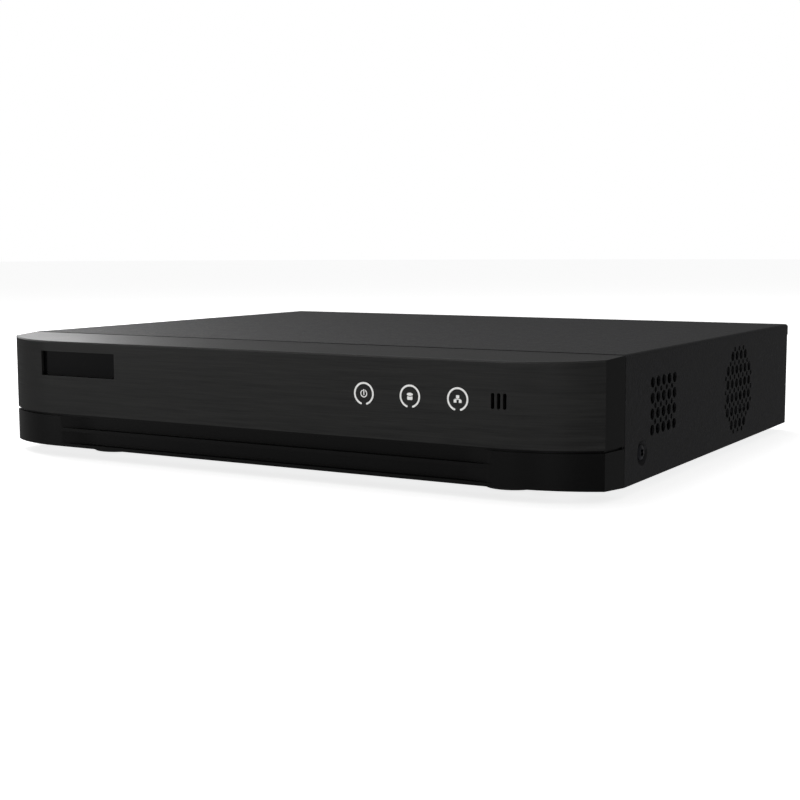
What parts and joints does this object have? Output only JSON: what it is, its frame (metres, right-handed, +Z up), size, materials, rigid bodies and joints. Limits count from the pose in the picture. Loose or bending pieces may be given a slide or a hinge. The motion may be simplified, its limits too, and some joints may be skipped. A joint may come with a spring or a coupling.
{
  "type": "video recorder",
  "caption": "Low black video recorder box: steel cover with side vents, brushed front with ring indicators, rear sockets, drive and fan inside.",
  "frame": {"origin": "on the surface the feet stand on, under the middle of the object's outer box", "axes": "+X right seen from the front, +Y to the back (sockets), +Z up"},
  "size_m": [0.26, 0.2298, 0.0467],
  "materials": {
    "anodised_aluminium": "black anodised aluminium",
    "audio_insert": "coloured moulded insert",
    "bezel_plastic": "satin black ABS",
    "black_epoxy": "moulded epoxy package",
    "black_jacket": "black PVC jacket",
    "black_nylon": "black moulded nylon",
    "black_screw": "black zinc-plated steel",
    "blue_insert": "blue moulded nylon",
    "brass": "turned brass",
    "brushed_face_plate": "black plate with a fine sideways brushed grain",
    "capacitor_sleeve": "shrunk plastic sleeve",
    "cast_aluminium": "cast aluminium, as cast",
    "circuit_board": "green solder mask on glass-fibre board",
    "clear_acrylic": "clear moulded acrylic",
    "ferrite": "moulded ferrite",
    "green_nylon": "green moulded nylon",
    "grey_jacket": "grey PVC jacket",
    "insert_gloss": "smooth black insert",
    "ivory_nylon": "ivory moulded nylon",
    "led_resin": "cast LED resin",
    "mirror_disk": "polished disk",
    "nickel": "bright nickel plate",
    "orange_lever": "orange moulded nylon",
    "powder_coated_steel": "fine-textured black powder coat on sheet steel",
    "red_jacket": "red PVC jacket",
    "rubber": "soft black rubber",
    "stamped_aluminium": "stamped aluminium",
    "white_insulator": "white fluoropolymer",
    "white_print": "white inlay",
    "zinc_coated_steel": "bright zinc-coated sheet steel",
    "zinc_screw": "bright zinc-plated steel"
  },
  "bodies": {
    "chassis": {"backup_cell": "nickel", "base_tray": "zinc_coated_steel", "bezel_screws": "black_screw", "bnc_housings": "black_nylon", "bnc_insulators": "white_insulator", "bnc_shells": "nickel", "board_chips": "black_epoxy", "board_headers": "ivory_nylon", "board_screws": "zinc_screw", "capacitors": "capacitor_sleeve", "cell_holder": "black_nylon", "cover_screws": "black_screw", "drive_board": "circuit_board", "drive_casting": "cast_aluminium", "drive_cover": "stamped_aluminium", "drive_power_lead": "black_jacket", "drive_screws": "zinc_screw", "face_plate": "brushed_face_plate", "fan_bracket": "zinc_coated_steel", "fan_frame": "black_nylon", "fan_lead": "black_jacket", "fan_screws": "zinc_screw", "front_bezel": "bezel_plastic", "front_board": "circuit_board", "front_lead": "grey_jacket", "ground_screw": "zinc_screw", "hdmi_shell": "nickel", "heatsink": "anodised_aluminium", "indicator_icons": "white_print", "indicator_rings": "white_print", "inductors": "ferrite", "lead_plugs": "ivory_nylon", "light_pipe": "clear_acrylic", "mainboard": "circuit_board", "name_insert": "insert_gloss", "network_socket": "nickel", "power_inlet": "black_nylon", "processor": "black_epoxy", "rca_barrels": "nickel", "rca_block": "black_nylon", "rca_inserts": "audio_insert", "rear_panel": "zinc_coated_steel", "rubber_feet": "rubber", "sata_cable": "red_jacket", "sounder": "black_nylon", "standoffs": "brass", "status_leds": "led_resin", "terminal_block": "green_nylon", "top_cover": "powder_coated_steel", "usb_shell": "nickel", "usb_tongues": "black_nylon", "vga_insert": "blue_insert", "vga_posts": "nickel", "vga_shell": "nickel"},
    "fan_rotor": {"fan_rotor": "black_nylon"},
    "disk_stack": {"drive_platters": "mirror_disk"},
    "head_arm": {"head_arm": "stamped_aluminium"},
    "lever_left": {"terminal_lever_left": "orange_lever"},
    "lever_right": {"terminal_lever_right": "orange_lever"}
  },
  "joints": [
    {"name": "fan_spin", "type": "hinge", "parent": "chassis", "child": "fan_rotor", "pos_m": [0.1219, 0.0317, 0.02445], "axis": [1, 0, 0], "continuous": true},
    {"name": "disk_spin", "type": "hinge", "parent": "chassis", "child": "disk_stack", "pos_m": [-0.0725, -0.0362, 0.0215], "axis": [0, 0, 1], "continuous": true},
    {"name": "arm_swing", "type": "hinge", "parent": "chassis", "child": "head_arm", "pos_m": [-0.0185, -0.0222, 0.0215], "axis": [0, 0, -1], "range_deg": [0, 33]},
    {"name": "lever_left_press", "type": "slide", "parent": "chassis", "child": "lever_left", "axis": [0, -1, 0], "range_m": [0, 0.0014], "stiffness_N_per_m": 500, "springref_m": -0.001},
    {"name": "lever_right_press", "type": "slide", "parent": "chassis", "child": "lever_right", "axis": [0, -1, 0], "range_m": [0, 0.0014], "stiffness_N_per_m": 500, "springref_m": -0.001}
  ]
}
